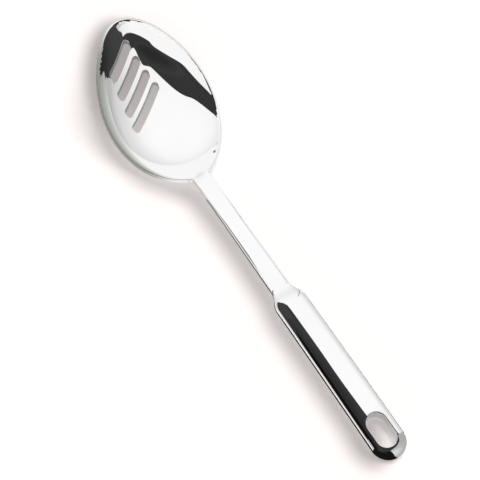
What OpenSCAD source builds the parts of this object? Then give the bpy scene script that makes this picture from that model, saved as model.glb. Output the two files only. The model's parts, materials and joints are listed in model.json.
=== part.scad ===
// Slotted serving spoon in polished stainless sheet, with a hollow handle and a hanging eye.
// It lies as it rests on a table: bowl opening up, bowl belly and handle end on z = 0.
// The bowl points to -X, the handle to +X, and the origin is the centre of its footprint.

/* [Bowl] */
// Length of the bowl from the neck to the tip, inside the rim, seen from above
bowl_l = 98.3; // [80:0.1:130]
// Width of the bowl inside the rim
bowl_w = 71.4; // [56:0.2:88]
// Depth of the bowl below its rim
bowl_d = 17.8; // [12:0.2:24]
// Thickness of the sheet in the bowl
bowl_t = 2; // [1.2:0.1:2.6]
// How far the rim climbs from the neck to the tip
rim_rise = 45.3; // [30:0.1:55]
// Dip of the rim below a straight line from the neck to the tip
rim_sag = 10.2; // [4:0.2:13]

/* [Slots] */
// Number of drain slots
slot_n = 4; // [1:1:4]
// Width of a slot
slot_w = 5; // [3:0.5:6]
// Angle of the slots to the length of the spoon
slot_angle = 55.5; // [45:0.5:70]
// Distance from the tip to the middle of the slot next to it
slot_inset = 15; // [14:0.5:22]
// Step from one slot to the next
slot_pitch = 8.4; // [8:0.2:10]
// Straight length of the slot next to the tip
slot_l = 19; // [12:1:20]
// Extra length of each next slot
slot_grow = 3.2; // [0:0.2:4]
// Distance from the middle of the first slot to the middle line of the bowl
slot_side = 8; // [4:0.5:9]
// How much nearer to the middle line each next slot lies
slot_drift = 1; // [0:0.5:1.5]

/* [Shank] */
// Length of the shank from the neck to the handle
shank_l = 90.7; // [60:0.1:140]
// Width of the shank at the neck
neck_w = 11; // [9:0.5:14]
// Width of the shank where it enters the handle
shank_w = 12.6; // [11:0.2:15]
// Thickness of the shank
shank_t = 3; // [2.4:0.1:3.6]
// Length over which the heel of the bowl bends into the shank, each way from the neck
neck_bend = 7; // [4:0.5:10]
// Length of the tang hidden in the handle
tang_l = 45; // [20:1:60]

/* [Handle] */
// Length of the hollow handle
handle_l = 124.8; // [110:0.2:160]
// Width of the handle behind its shoulders
grip_w = 21.2; // [18:0.2:24]
// Width of the handle at the hanging eye
end_w = 22.2; // [21.2:0.2:26]
// Length of the shoulders, where the shank's width swells to the grip's
shoulder_l = 12.6; // [9:0.2:18]
// Height of the upper shell above the seam
crown_h = 4.2; // [3:0.1:6]
// Depth of the lower shell below the seam
belly_h = 4.8; // [3:0.1:7]
// How far the middle line of the handle droops to its end
droop = 2.4; // [0:0.2:5]
// Thickness of the two handle shells
shell_t = 0.8; // [0.6:0.1:1]

/* [Hanging eye] */
// Width of the eye
eye_w = 12.6; // [10:0.2:13]
// Length of the eye
eye_l = 22.2; // [17:0.2:27]
// Metal between the eye and the end of the handle
eye_land = 6.6; // [5.4:0.2:9]
// Wall of the sleeve that lines the eye, and radius of its two lips
sleeve_t = 1.3; // [0.8:0.1:1.5]

/* [Hidden] */

// Gap of a close fit between the parts of the handle
fit_gap = 0.05;
// Gap beside the tang, which is narrower than the mouth of the handle
tang_side_gap = 1;
// Length of the tang's root inside the shank
tang_root = 2;
// Overrun of the cutting tools past the metal
cut_over = 10;
// Height of the tool that cuts the eye through both shells
eye_cut_h = 40;
// Step for measuring a slope
slope_step = 0.001;

// Where the bowl is deepest, how its outline narrows to the tip and fills out, and how
// fast its sides rise, as shares
deepest_share = 0.26;
narrow_share = -0.019;
full_share = -0.112;
side_share = 0.25;
// How much more of the rim's dip lies towards the neck
dip_share = 0.65;
// Where the sheet has its bowl thickness, as a share of the bowl's length
graded_share = 0.5;
// Roundness of the handle's cross section at its mouth and along the grip
mouth_power = 8;
grip_power = 2.4;
// Sharpness of the two corners at the neck
corner_power = 5;
// Where on the bowl its lowest place is looked for, as a share of the bowl's length
belly_share = 0.8;

// Facets: rows from tip to neck, rows along the shank, columns from rim to rim
bowl_rows = 44;
shank_rows = 5;
bowl_cols = 24;
// Facets: rows in the shoulders, along the grip and round the end, columns across a shell
shoulder_rows = 12;
grip_rows = 8;
end_rows = 10;
shell_cols = 20;
// Facets: round the eye, over each of its lips, and round a slot's ends
eye_sides = 24;
lip_steps = 3;
slot_sides = 48;
// Places that are tried for the lowest ones under the bowl and under the handle's end
belly_tries = 40;
heel_tries = 12;
pose_tries = 12;

steel = "#d9dbdc";
steel_inside = "#b9bcbe";

function smooth(s) = let (c = min(max(s, 0), 1)) c * c * (3 - 2 * c);
function unit(v) = v / norm(v);
// A straight line that starts in a curve: zero before -r, and s itself after r
function eased(s, r) = s <= -r ? 0 : s >= r ? s : pow(s + r, 2) / (4 * r);

// The blank: x runs from the neck along the shank, and its upper face there is z = 0.
// Share of the way from the neck to the tip, 0 to 1, and the same from -1 to 1
function tip_share(x) = eased(-x, neck_bend) / bowl_l;
function outline_share(x) = 2 * min(max(-x / bowl_l, 0), 1) - 1;

function egg_half_w(x) = let (m = outline_share(x))
    bowl_w / 2 / (1 - full_share) * sqrt(max(1 - m * m, 0))
    * (1 + narrow_share * m + full_share * (2 * m * m - 1));
function shank_half_w(x) = (neck_w + (shank_w - neck_w) * min(max(x / shank_l, 0), 1)) / 2;
function blank_half_w(x) = outline_share(x) > 0 ? egg_half_w(x)
    : pow(pow(egg_half_w(x), corner_power) + pow(shank_half_w(x), corner_power), 1 / corner_power);

function rim_z(x) = let (u = tip_share(x))
    rim_rise * u - 4 * rim_sag * u * (1 - u) * (1 + dip_share * (1 - 2 * u));
// Share of the full depth at x, and at v from -1 to 1 across the bowl
function depth_share(x, v) =
    let (m = 2 * tip_share(x) - 1,
         k = -deepest_share / (1 - deepest_share * deepest_share),
         a = m + k * (1 - m * m),
         p = (1 - a * a) * (1 - v * v))
    p * (1 + side_share * (2 - p)) / (1 + side_share);
function blank_point(x, v) = [x, blank_half_w(x) * v, rim_z(x) - bowl_d * depth_share(x, v)];
function blank_t(x) = shank_t + (bowl_t - shank_t) * smooth(-x / bowl_l / graded_share);
function blank_normal(x, v) = unit(cross(
    blank_point(x + slope_step, v) - blank_point(x - slope_step, v),
    blank_point(x, v + slope_step) - blank_point(x, v - slope_step)));
// The underside, at the sheet's thickness from the upper face
function under_point(x, v) = blank_point(x, v) - blank_t(x) * blank_normal(x, v);

tip_slope = blank_point(slope_step - bowl_l, 0) - blank_point(-bowl_l, 0);
tip_top = [-bowl_l, 0, rim_rise];
tip_under = tip_top - bowl_t * unit([-tip_slope.z, 0, tip_slope.x]);

blank_x = concat(
    [for (i = [1 : bowl_rows]) -bowl_l / 2 * (1 + cos(180 * i / bowl_rows))],
    [neck_bend / 4, neck_bend / 2, neck_bend],
    [for (i = [1 : shank_rows]) neck_bend + (shank_l - neck_bend) * i / shank_rows]);
blank_rows = len(blank_x);
across = [for (j = [0 : bowl_cols]) sin(180 * j / bowl_cols - 90)];

// The handle: x runs from the mouth, and z is measured in the blank's frame.
end_r = end_w / 2;
end_x = handle_l - end_r;
function seam_z(x) = -shank_t / 2 - droop * pow(min(max(x / handle_l, 0), 1), 2);
function handle_half_w(x) = shank_w / 2
    + (grip_w - shank_w) / 2 * smooth(x / shoulder_l)
    + (end_w - grip_w) / 2 * min(max((x - shoulder_l) / (end_x - shoulder_l), 0), 1);
function swell(x, h) = shank_t / 2 + (h - shank_t / 2) * smooth(x / shoulder_l);
function power(x) = mouth_power + (grip_power - mouth_power) * smooth(x / shoulder_l);
// Share of the way from the middle line to the seam at a place on the handle
function seam_share(x, y) = x <= end_x ? abs(y) / handle_half_w(x) : norm([x - end_x, y]) / end_r;
function skin_z(x, y, side, h) = let (n = power(x))
    seam_z(x) + side * swell(x, h) * pow(max(1 - pow(seam_share(x, y), n), 0), 1 / n);

// A row of the shell from its right seam over the top to its left seam, drawn in by inset
row_n = shoulder_rows + grip_rows + end_rows;
arc_row = shoulder_rows + grip_rows;
function row_x(i) = i <= shoulder_rows ? shoulder_l * i / shoulder_rows
    : shoulder_l + (end_x - shoulder_l) * min(i - shoulder_rows, grip_rows) / grip_rows;
function row_turn(i) = 90 * max(i - arc_row, 0) / end_rows;
function shell_point(i, j, side, h, inset) =
    let (a = 180 * j / shell_cols,
         x = row_x(i),
         n = power(x),
         reach = pow(abs(cos(a)), 2 / n),
         lift = pow(sin(a), 2 / n),
         r = handle_half_w(x) - inset,
         px = x + reach * r * sin(row_turn(i)),
         py = sign(cos(a)) * reach * r * cos(row_turn(i)))
    [px, py, seam_z(px) + side * lift * (swell(x, h) - inset)];

// Points of one name that several rows share, round the end of the handle
middle_col = shell_cols / 2;
function row_of(i, j) = j == middle_col ? min(i, arc_row) : i;
function col_of(i, j) = i == row_n ? min(j, shell_cols - j) : j;
function skin_index(i, j) = row_of(i, j) * (shell_cols + 1) + col_of(i, j);

function two_triangles(a, b, c, d) = [[a, b, c], [a, c, d]];
function real_faces(faces) = [for (f = faces) if (f[0] != f[1] && f[1] != f[2] && f[2] != f[0]) f];
function turned(faces) = [for (f = faces) [f[2], f[1], f[0]]];

// How the spoon comes to rest on the table, on the bowl's belly and the handle's end
belly_points = [for (i = [1 : belly_tries]) under_point(-bowl_l * belly_share * i / belly_tries, 0)];
heel_points = [for (i = [0 : heel_tries])
    let (x = end_x - end_w + end_w * i / heel_tries) [shank_l + x, 0, seam_z(x) - swell(x, belly_h)]];
function turn_z(p, a) = p.z * cos(a) - p.x * sin(a);
function turn_x(p, a) = p.x * cos(a) + p.z * sin(a);
function lowest(points, a) = min([for (p = points) turn_z(p, a)]);
function rest_angle(a, tries) = tries == 0 ? a
    : rest_angle(a + atan((lowest(heel_points, a) - lowest(belly_points, a)) / (shank_l + handle_l)),
                 tries - 1);
rest_pitch = rest_angle(0, pose_tries);
rest_lift = -lowest(belly_points, rest_pitch);
tip_x = turn_x(tip_under, rest_pitch);
tail_x = turn_x([shank_l + handle_l, 0, seam_z(handle_l)], rest_pitch);

module at_rest() {
    translate([-(tip_x + tail_x) / 2, 0, rest_lift])
        rotate([0, rest_pitch, 0])
            children();
}

// A closed sheet from a grid of upper points, with the tip as a single point
module blank_sheet() {
    row = bowl_cols + 1;
    under = blank_rows * row;
    tip = 2 * under;
    points = concat(
        [for (x = blank_x) for (v = across) blank_point(x, v)],
        [for (x = blank_x) for (v = across) under_point(x, v)],
        [tip_top, tip_under]);
    upper = concat(
        [for (i = [0 : blank_rows - 2]) for (j = [0 : bowl_cols - 1]) each
            two_triangles(i * row + j, i * row + j + 1, (i + 1) * row + j + 1, (i + 1) * row + j)],
        [for (j = [0 : bowl_cols - 1]) [tip, j + 1, j]]);
    lower = concat(
        [for (i = [0 : blank_rows - 2]) for (j = [0 : bowl_cols - 1]) each two_triangles(
            under + (i + 1) * row + j, under + (i + 1) * row + j + 1,
            under + i * row + j + 1, under + i * row + j)],
        [for (j = [0 : bowl_cols - 1]) [tip + 1, under + j, under + j + 1]]);
    rim = concat(
        [for (i = [0 : blank_rows - 2]) each
            two_triangles(i * row, (i + 1) * row, under + (i + 1) * row, under + i * row)],
        [for (i = [0 : blank_rows - 2]) let (a = i * row + bowl_cols, b = a + row) each
            two_triangles(b, a, under + a, under + b)],
        two_triangles(tip, 0, under, tip + 1),
        two_triangles(bowl_cols, tip, tip + 1, under + bowl_cols));
    butt = [for (j = [0 : bowl_cols - 1]) let (a = (blank_rows - 1) * row + j) each
        two_triangles(a, a + 1, under + a + 1, under + a)];
    polyhedron(points, concat(upper, lower, rim, butt));
}

// The tang is coined thinner than the shank, so that the shells end flush with its faces
module tang() {
    tang_w = shank_w - 2 * (shell_t + tang_side_gap);
    tang_t = shank_t - 2 * (shell_t + fit_gap);
    translate([shank_l - tang_root, -tang_w / 2, -(shank_t + tang_t) / 2])
        cube([tang_l + tang_root, tang_w, tang_t]);
}

module slot_cuts() {
    for (i = [0 : slot_n - 1])
        translate([slot_inset + i * slot_pitch - bowl_l, i * slot_drift - slot_side, -cut_over])
            rotate([0, 0, -slot_angle])
                stadium(slot_l + i * slot_grow, slot_w, rim_rise + 2 * cut_over);
}

// An upright prism with round ends, given its straight length, its width and its height
module stadium(straight, width, height) {
    translate([-straight / 2, -width / 2, 0])
        cube([straight, width, height]);
    for (side = [-1, 1])
        translate([side * straight / 2, 0, 0])
            cylinder(d = width, h = height, $fn = slot_sides);
}

module bowl_and_shank() {
    color(steel) at_rest() {
        difference() {
            blank_sheet();
            slot_cuts();
        }
        tang();
    }
}

// One shell of the handle: side is 1 for the upper and -1 for the lower
module shell_skin(side, h) {
    row = shell_cols + 1;
    inner = (row_n + 1) * row;
    points = concat(
        [for (i = [0 : row_n]) for (j = [0 : shell_cols]) shell_point(i, j, side, h, 0)],
        [for (i = [0 : row_n]) for (j = [0 : shell_cols]) shell_point(i, j, side, h, shell_t)]);
    outside = [for (i = [0 : row_n - 1]) for (j = [0 : shell_cols - 1]) each two_triangles(
        skin_index(i, j), skin_index(i, j + 1), skin_index(i + 1, j + 1), skin_index(i + 1, j))];
    inside = [for (f = turned(outside)) [f[0] + inner, f[1] + inner, f[2] + inner]];
    mouth = [for (j = [0 : shell_cols - 1]) let (a = skin_index(0, j + 1), b = skin_index(0, j)) each
        two_triangles(a, b, inner + b, inner + a)];
    seam = [for (i = [0 : row_n - 1]) for (j = [0, shell_cols])
        let (a = skin_index(i, j), b = skin_index(i + 1, j),
             f = two_triangles(a, b, inner + b, inner + a)) each (j == 0 ? f : turned(f))];
    faces = real_faces(concat(outside, inside, mouth, seam));
    polyhedron(points, side > 0 ? turned(faces) : faces);
}

module eye_place() {
    translate([shank_l + handle_l - eye_land - eye_l / 2, 0, 0])
        children();
}

module handle_shell(side, h) {
    color(steel) at_rest() difference() {
        translate([shank_l, 0, 0])
            shell_skin(side, h);
        eye_place()
            translate([0, 0, -eye_cut_h / 2])
                stadium(eye_l - eye_w, eye_w + 2 * (sleeve_t + fit_gap), eye_cut_h);
    }
}

module handle_top_shell() {
    handle_shell(1, crown_h);
}

module handle_bottom_shell() {
    handle_shell(-1, belly_h);
}

// Point i on an oblong, counted round it, with its straight sides between the two half turns
function oblong_point(i, r) =
    let (half = eye_sides / 2,
         end = i <= half ? 1 : -1,
         a = i <= half ? 180 * i / half - 90 : 180 * (i - half - 1) / half + 90)
    [end * (eye_l - eye_w) / 2 + r * cos(a), r * sin(a)];

// A ring of the sleeve at a turn of its lip, from 0 on the wall to 90 on the shell's skin
function lip_ring(side, turn) =
    let (mid_x = handle_l - eye_land - eye_l / 2)
    [for (i = [0 : eye_sides + 1])
        let (p = oblong_point(i, eye_w / 2 + sleeve_t * (1 - cos(turn))),
             z = skin_z(mid_x + p.x, p.y, side, side > 0 ? crown_h : belly_h))
        [p.x, p.y, z - side * sleeve_t * (1 - sin(turn))]];

// The sleeve is rolled over at both ends, and its lips run out flush with the two skins
module eye_sleeve() {
    sides = eye_sides + 2;
    rings = concat(
        [for (k = [0 : lip_steps]) lip_ring(1, 90 - 90 * k / lip_steps)],
        [for (k = [0 : lip_steps]) lip_ring(-1, 90 * k / lip_steps)]);
    count = len(rings);
    faces = [for (k = [0 : count - 1]) let (a = k, b = (k + 1) % count)
        for (i = [0 : sides - 1]) let (n = (i + 1) % sides) each
            two_triangles(b * sides + i, b * sides + n, a * sides + n, a * sides + i)];
    color(steel_inside) at_rest() eye_place()
        polyhedron([for (ring = rings) each ring], faces);
}

bowl_and_shank();
handle_top_shell();
handle_bottom_shell();
eye_sleeve();
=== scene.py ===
"""Slotted serving spoon in mirror polished stainless steel, laid on a pale table.

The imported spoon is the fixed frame: the bowl points to -X, the handle to +X, and it rests on
z = 0. All sizes are in metres. Each piece of the real spoon has a class that builds its smooth
mesh from the piece's own curves and gives it its finish.
"""

import json
import logging
import math
from collections.abc import Callable
from dataclasses import dataclass, field
from enum import Enum

import bpy
import numpy as np
from mathutils import Matrix, Vector
from mathutils.geometry import delaunay_2d_cdt


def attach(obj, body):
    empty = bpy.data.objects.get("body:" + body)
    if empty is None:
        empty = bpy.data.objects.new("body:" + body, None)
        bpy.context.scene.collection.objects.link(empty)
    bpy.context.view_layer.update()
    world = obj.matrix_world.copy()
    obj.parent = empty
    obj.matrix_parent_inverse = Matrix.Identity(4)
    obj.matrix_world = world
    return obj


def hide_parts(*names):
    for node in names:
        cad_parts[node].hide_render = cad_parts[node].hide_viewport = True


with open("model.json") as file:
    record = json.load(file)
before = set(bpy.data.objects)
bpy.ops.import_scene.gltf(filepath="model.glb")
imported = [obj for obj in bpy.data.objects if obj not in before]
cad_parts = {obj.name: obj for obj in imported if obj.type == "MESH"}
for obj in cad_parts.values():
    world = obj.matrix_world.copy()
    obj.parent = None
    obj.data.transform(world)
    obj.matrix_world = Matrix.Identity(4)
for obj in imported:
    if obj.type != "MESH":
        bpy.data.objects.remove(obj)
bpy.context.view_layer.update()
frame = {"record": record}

log = logging.getLogger("spoon")

RIGHT_ANGLE = math.pi / 2.0

# Step over which slopes are measured
SLOPE_STEP = 2e-6

# Points that a curve has before they are spaced evenly
ARC_POINTS = 60
SIDE_POINTS = 2000
END_POINTS = 400

# Room that a loose point needs, as a share of the step between such points
NEIGHBOUR_SHARE = 0.55

# The triangulation works in millimetres and leaves out triangles with no area
MILLIMETRES = 1000.0
CDT_MARGIN = 1e-7
FLAT_AREA = 1e-12
BATCH = 200

# Smallest lengths and shares that are divided by
NO_LENGTH = 1e-12
TINY = 1e-6

Outline = tuple[tuple[float, float], ...]
Place = tuple[float, float, float]
Materials = list[bpy.types.Material]
Socket = bpy.types.NodeSocket


class Side(Enum):
    """The two faces of a sheet, and the two shells of the handle."""

    UPPER = 1
    LOWER = -1


def smooth(share: np.ndarray) -> np.ndarray:
    """Ease a share between 0 and 1 so that both ends are level."""
    held = np.clip(share, 0.0, 1.0)
    return held * held * (3.0 - 2.0 * held)


def unit(vectors: np.ndarray) -> np.ndarray:
    """Scale each row to length one."""
    return vectors / np.maximum(np.linalg.norm(vectors, axis=1, keepdims=True), NO_LENGTH)


def evenly(points: np.ndarray, step: float) -> np.ndarray:
    """Place points at even steps along a path.

    Args:
        points: The path, one point a row.
        step: The wanted distance between neighbours.

    Returns:
        The new points, with the path's two ends kept.
    """
    run = np.concatenate([[0.0], np.cumsum(np.linalg.norm(np.diff(points, axis=0), axis=1))])
    marks = np.linspace(0.0, run[-1], max(int(round(run[-1] / step)), 2) + 1)
    return np.stack([np.interp(marks, run, points[:, k]) for k in range(points.shape[1])], axis=1)


def oblong(straight: float, radius: float, step: float) -> np.ndarray:
    """Draw an oblong with half-round ends, counter-clockwise round the origin.

    Args:
        straight: Length of its straight sides, along x.
        radius: Radius of its ends.
        step: Distance between neighbouring points.

    Returns:
        Its points, without the first one repeated.
    """
    turn = np.linspace(-RIGHT_ANGLE, RIGHT_ANGLE, ARC_POINTS)
    right = np.stack([straight / 2 + radius * np.cos(turn), radius * np.sin(turn)], axis=1)
    path = np.concatenate([right, -right, right[:1]])
    return evenly(path, step)[:-1]


def from_spine(xy: np.ndarray, reach: float) -> np.ndarray:
    """Give the distance of points from a straight line along x that reaches both ways."""
    return np.hypot(xy[:, 0] - np.clip(xy[:, 0], -reach, reach), xy[:, 1])


def both_sides(half: np.ndarray) -> np.ndarray:
    """Carry a path that ends on the middle line back along the other side."""
    return np.concatenate([half, (half * np.array([1.0, -1.0]))[-2::-1]])


@dataclass(frozen=True)
class Rest:
    """How the spoon lies on the table: its pitch, and the neck's place on the shank's face."""

    pitch: float
    neck_x: float
    lift: float

    @classmethod
    def from_record(cls, record: dict, station: float, sheet: float) -> "Rest":
        """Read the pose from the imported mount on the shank's underside.

        Args:
            record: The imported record.
            station: Distance from the neck to the mount.
            sheet: Thickness of the shank there.

        Returns:
            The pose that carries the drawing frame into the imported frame.
        """
        mount = next(m for m in record["mounts"] if m["name"] == "shank_underside")
        pitch = math.atan2(-mount["axis"][0], -mount["axis"][2])
        x, _, z = mount["pos_m"]
        return cls(
            pitch,
            x - station * math.cos(pitch) + sheet * math.sin(pitch),
            z + sheet * math.cos(pitch) + station * math.sin(pitch),
        )

    def turn(self, vectors: np.ndarray) -> np.ndarray:
        """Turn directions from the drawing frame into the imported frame.

        Args:
            vectors: The directions, one a row.

        Returns:
            The turned directions.
        """
        c, s = math.cos(self.pitch), math.sin(self.pitch)
        x, y, z = vectors.T
        return np.stack([x * c + z * s, y, z * c - x * s], axis=1)

    def place(self, points: np.ndarray) -> np.ndarray:
        """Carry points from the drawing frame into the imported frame."""
        return self.turn(points) + np.array([self.neck_x, 0.0, self.lift])


@dataclass(frozen=True)
class Blank:
    """Curves of the bowl and shank, which are one stamping.

    x runs from the neck along the shank, so the bowl lies at negative x, and z = 0 is the
    shank's upper face.
    """

    bowl_length: float = 0.0983
    bowl_width: float = 0.0714
    bowl_depth: float = 0.0178
    bowl_sheet: float = 0.0020
    rim_rise: float = 0.0453
    rim_sag: float = 0.0102
    neck_width: float = 0.011
    shank_width: float = 0.0126
    shank_length: float = 0.0907
    shank_sheet: float = 0.0030
    neck_bend: float = 0.007
    deepest_share: float = 0.26
    narrow_share: float = -0.019
    full_share: float = -0.112
    side_share: float = 0.25
    dip_share: float = 0.65
    graded_share: float = 0.5
    corner_power: float = 5.0
    mount_station: float = 0.047
    bowl_points: int = 3000
    shank_points: int = 1500

    def egg_reach(self, m: np.ndarray) -> np.ndarray:
        """Give the bowl's half width over the half chord of a round outline."""
        fill = 1.0 + self.narrow_share * m + self.full_share * (2.0 * m * m - 1.0)
        return self.bowl_width / 2.0 / (1.0 - self.full_share) * fill

    def half_width(self, x: np.ndarray) -> np.ndarray:
        """Give the half width of the blank inside its rounded edge.

        Args:
            x: Places along x.

        Returns:
            The half width at each.
        """
        m = 2.0 * np.clip(-x / self.bowl_length, 0.0, 1.0) - 1.0
        egg = self.egg_reach(m) * np.sqrt(np.maximum(1.0 - m * m, 0.0))
        along = np.clip(x / self.shank_length, 0.0, 1.0)
        grown = self.neck_width + (self.shank_width - self.neck_width) * along
        p = self.corner_power
        return np.where(m > 0.0, egg, (egg**p + (grown / 2.0) ** p) ** (1.0 / p))

    def tip_share(self, x: np.ndarray) -> np.ndarray:
        """Give the share of the way from the neck to the tip, eased in over the heel.

        Args:
            x: Places along x.

        Returns:
            The share at each, from 0 at the neck to 1 at the tip.
        """
        r = self.neck_bend
        run = np.where(-x <= -r, 0.0, np.where(-x >= r, -x, (r - x) ** 2 / (4.0 * r)))
        return run / self.bowl_length

    def upper(self, xy: np.ndarray) -> np.ndarray:
        """Place points of the flat outline on the upper face.

        Args:
            xy: Points of the flat outline.

        Returns:
            The points in three dimensions.
        """
        x, y = xy.T
        u = self.tip_share(x)
        m = 2.0 * u - 1.0
        k = -self.deepest_share / (1.0 - self.deepest_share**2)
        open_m = 1.0 - m * m
        ratio = 1.0 - 2.0 * m * k - k * k * open_m
        half = self.half_width(x)
        near_tip = open_m * ratio - y * y * ratio / self.egg_reach(m) ** 2
        elsewhere = open_m * ratio * (1.0 - (y / np.maximum(half, TINY)) ** 2)
        p = np.where(x < -self.bowl_length / 2.0, near_tip, elsewhere)
        q = self.side_share
        dip = 1.0 + self.dip_share * (1.0 - 2.0 * u)
        rim = self.rim_rise * u - 4.0 * self.rim_sag * u * (1.0 - u) * dip
        return np.stack([x, y, rim - self.bowl_depth * p * (1.0 + q * (2.0 - p)) / (1.0 + q)], axis=1)

    def normal(self, xy: np.ndarray) -> np.ndarray:
        """Give the upper face's normals, pointing up.

        Args:
            xy: Points of the flat outline.

        Returns:
            The normal at each.
        """
        dx, dy = np.array([SLOPE_STEP, 0.0]), np.array([0.0, SLOPE_STEP])
        along, across = (self.upper(xy + step) - self.upper(xy - step) for step in (dx, dy))
        return unit(np.cross(along, across))

    def sheet(self, x: np.ndarray) -> np.ndarray:
        """Give the sheet's thickness, which is graded from the shank into the bowl."""
        share = smooth(-x / self.bowl_length / self.graded_share)
        return self.shank_sheet + (self.bowl_sheet - self.shank_sheet) * share

    def outline(self, step: float) -> np.ndarray:
        """Draw the edge from the shank's end round the tip and back, with the metal on its left.

        Args:
            step: Distance between neighbouring points.

        Returns:
            The points, from the end at +y to the end at -y.
        """
        turn = np.linspace(0.0, math.pi, self.bowl_points)
        bowl_x = -self.bowl_length / 2.0 * (1.0 - np.cos(turn))
        x = np.concatenate([np.linspace(self.shank_length, 0.0, self.shank_points)[:-1], bowl_x])
        side = np.stack([x, self.half_width(x)], axis=1)
        return both_sides(evenly(side, step))


@dataclass(frozen=True)
class Slots:
    """The four slanting drain slots, which shorten towards the bowl's tip."""

    count: int = 4
    width: float = 0.005
    angle: float = math.radians(-55.5)
    first: tuple[float, float] = (-0.0833, -0.008)
    step: tuple[float, float] = (0.0084, 0.001)
    straight: float = 0.019
    growth: float = 0.0032

    def centre(self, index: int) -> np.ndarray:
        """Give the centre of a slot, counted from the tip."""
        return np.array(self.first) + index * np.array(self.step)

    def outline(self, index: int, step: float) -> np.ndarray:
        """Draw one slot's edge, with the metal on its left.

        Args:
            index: Which slot, counted from the tip.
            step: Distance between neighbouring points.

        Returns:
            The points of the closed edge, clockwise.
        """
        flat = oblong(self.straight + index * self.growth, self.width / 2.0, step)[::-1]
        c, s = math.cos(self.angle), math.sin(self.angle)
        return flat @ np.array([[c, s], [-s, c]]) + self.centre(index)

    def depth_inside(self, xy: np.ndarray) -> np.ndarray:
        """Give how far each point lies inside the nearest slot, below zero outside.

        Args:
            xy: Points of the flat outline.

        Returns:
            The depth of each.
        """
        best = np.full(len(xy), -1.0)
        c, s = math.cos(self.angle), math.sin(self.angle)
        for index in range(self.count):
            local = (xy - self.centre(index)) @ np.array([[c, -s], [s, c]])
            reach = (self.straight + index * self.growth) / 2.0
            best = np.maximum(best, self.width / 2.0 - from_spine(local, reach))
        return best


@dataclass(frozen=True)
class Grip:
    """Curves of the hollow handle: x runs from its mouth, z as in the blank's frame."""

    length: float = 0.1248
    mouth_width: float = 0.0126
    mouth_height: float = 0.0030
    grip_width: float = 0.0212
    end_width: float = 0.0222
    shoulder: float = 0.0126
    crown: float = 0.0042
    belly: float = 0.0048
    droop: float = 0.0024
    shell: float = 0.0008
    mouth_power: float = 8.0
    grip_power: float = 2.4

    @property
    def end_radius(self) -> float:
        """Radius of the handle's round end."""
        return self.end_width / 2.0

    @property
    def end_x(self) -> float:
        """Place of the round end's centre."""
        return self.length - self.end_radius

    def half_width(self, x: np.ndarray) -> np.ndarray:
        """Give the half width of the handle up to the centre of its round end.

        Args:
            x: Places along x.

        Returns:
            The half width at each.
        """
        swelling = (self.grip_width - self.mouth_width) / 2.0 * smooth(x / self.shoulder)
        run = np.clip((x - self.shoulder) / (self.end_x - self.shoulder), 0.0, 1.0)
        return self.mouth_width / 2.0 + swelling + (self.end_width - self.grip_width) / 2.0 * run

    def seam_z(self, x: np.ndarray) -> np.ndarray:
        """Give the height of the seam between the shells, which droops to the end."""
        return -self.mouth_height / 2.0 - self.droop * np.clip(x / self.length, 0.0, 1.0) ** 2

    def power(self, x: np.ndarray) -> np.ndarray:
        """Give the roundness of the cross section."""
        return self.mouth_power + (self.grip_power - self.mouth_power) * smooth(x / self.shoulder)

    def height(self, x: np.ndarray, side: Side) -> np.ndarray:
        """Give the height of a shell over the seam at the middle line."""
        full = self.crown if side is Side.UPPER else self.belly
        return self.mouth_height / 2.0 + (full - self.mouth_height / 2.0) * smooth(x / self.shoulder)

    def seam_share(self, xy: np.ndarray) -> np.ndarray:
        """Give how far each point lies from the middle line, as a share of the way to the seam.

        Args:
            xy: Points of the flat outline.

        Returns:
            The share of each.
        """
        x, y = xy.T
        beyond = np.hypot(x - self.end_x, y) / self.end_radius
        return np.where(x <= self.end_x, np.abs(y) / self.half_width(x), beyond)

    def reach(self, x: np.ndarray) -> np.ndarray:
        """Give the distance from the middle line, or from the round end's centre, to the seam."""
        return np.where(x > self.end_x, self.end_radius, self.half_width(x))

    def spine(self, xy: np.ndarray) -> np.ndarray:
        """Give the place on the middle line that each point lies out from."""
        return np.stack([np.minimum(xy[:, 0], self.end_x), np.zeros(len(xy))], axis=1)

    def skin(self, xy: np.ndarray, side: Side, wall: float = 0.0) -> np.ndarray:
        """Place points of the flat outline on a shell's skin.

        Args:
            xy: Points of the outline.
            side: Which shell.
            wall: How far below the outer skin, for the inside.

        Returns:
            The points in three dimensions.
        """
        x, y = xy.T
        n = self.power(x)
        lift = np.maximum(1.0 - self.seam_share(xy) ** n, 0.0) ** (1.0 / n)
        z = self.seam_z(x) + side.value * (self.height(x, side) - wall) * lift
        return np.stack([x, y, z], axis=1)

    def outline(self, step: float) -> np.ndarray:
        """Draw the seam from the mouth round the end and back, with the metal on its left.

        Args:
            step: Distance between neighbouring points.

        Returns:
            The points, from the mouth at -y to the mouth at +y.
        """
        x = np.linspace(0.0, self.end_x, SIDE_POINTS)
        side = np.stack([x, -self.half_width(x)], axis=1)
        turn = np.linspace(-RIGHT_ANGLE, 0.0, END_POINTS)[1:]
        end = np.stack([np.cos(turn), np.sin(turn)], axis=1) * self.end_radius
        end[:, 0] += self.end_x
        return both_sides(evenly(np.concatenate([side, end]), step))


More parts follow.
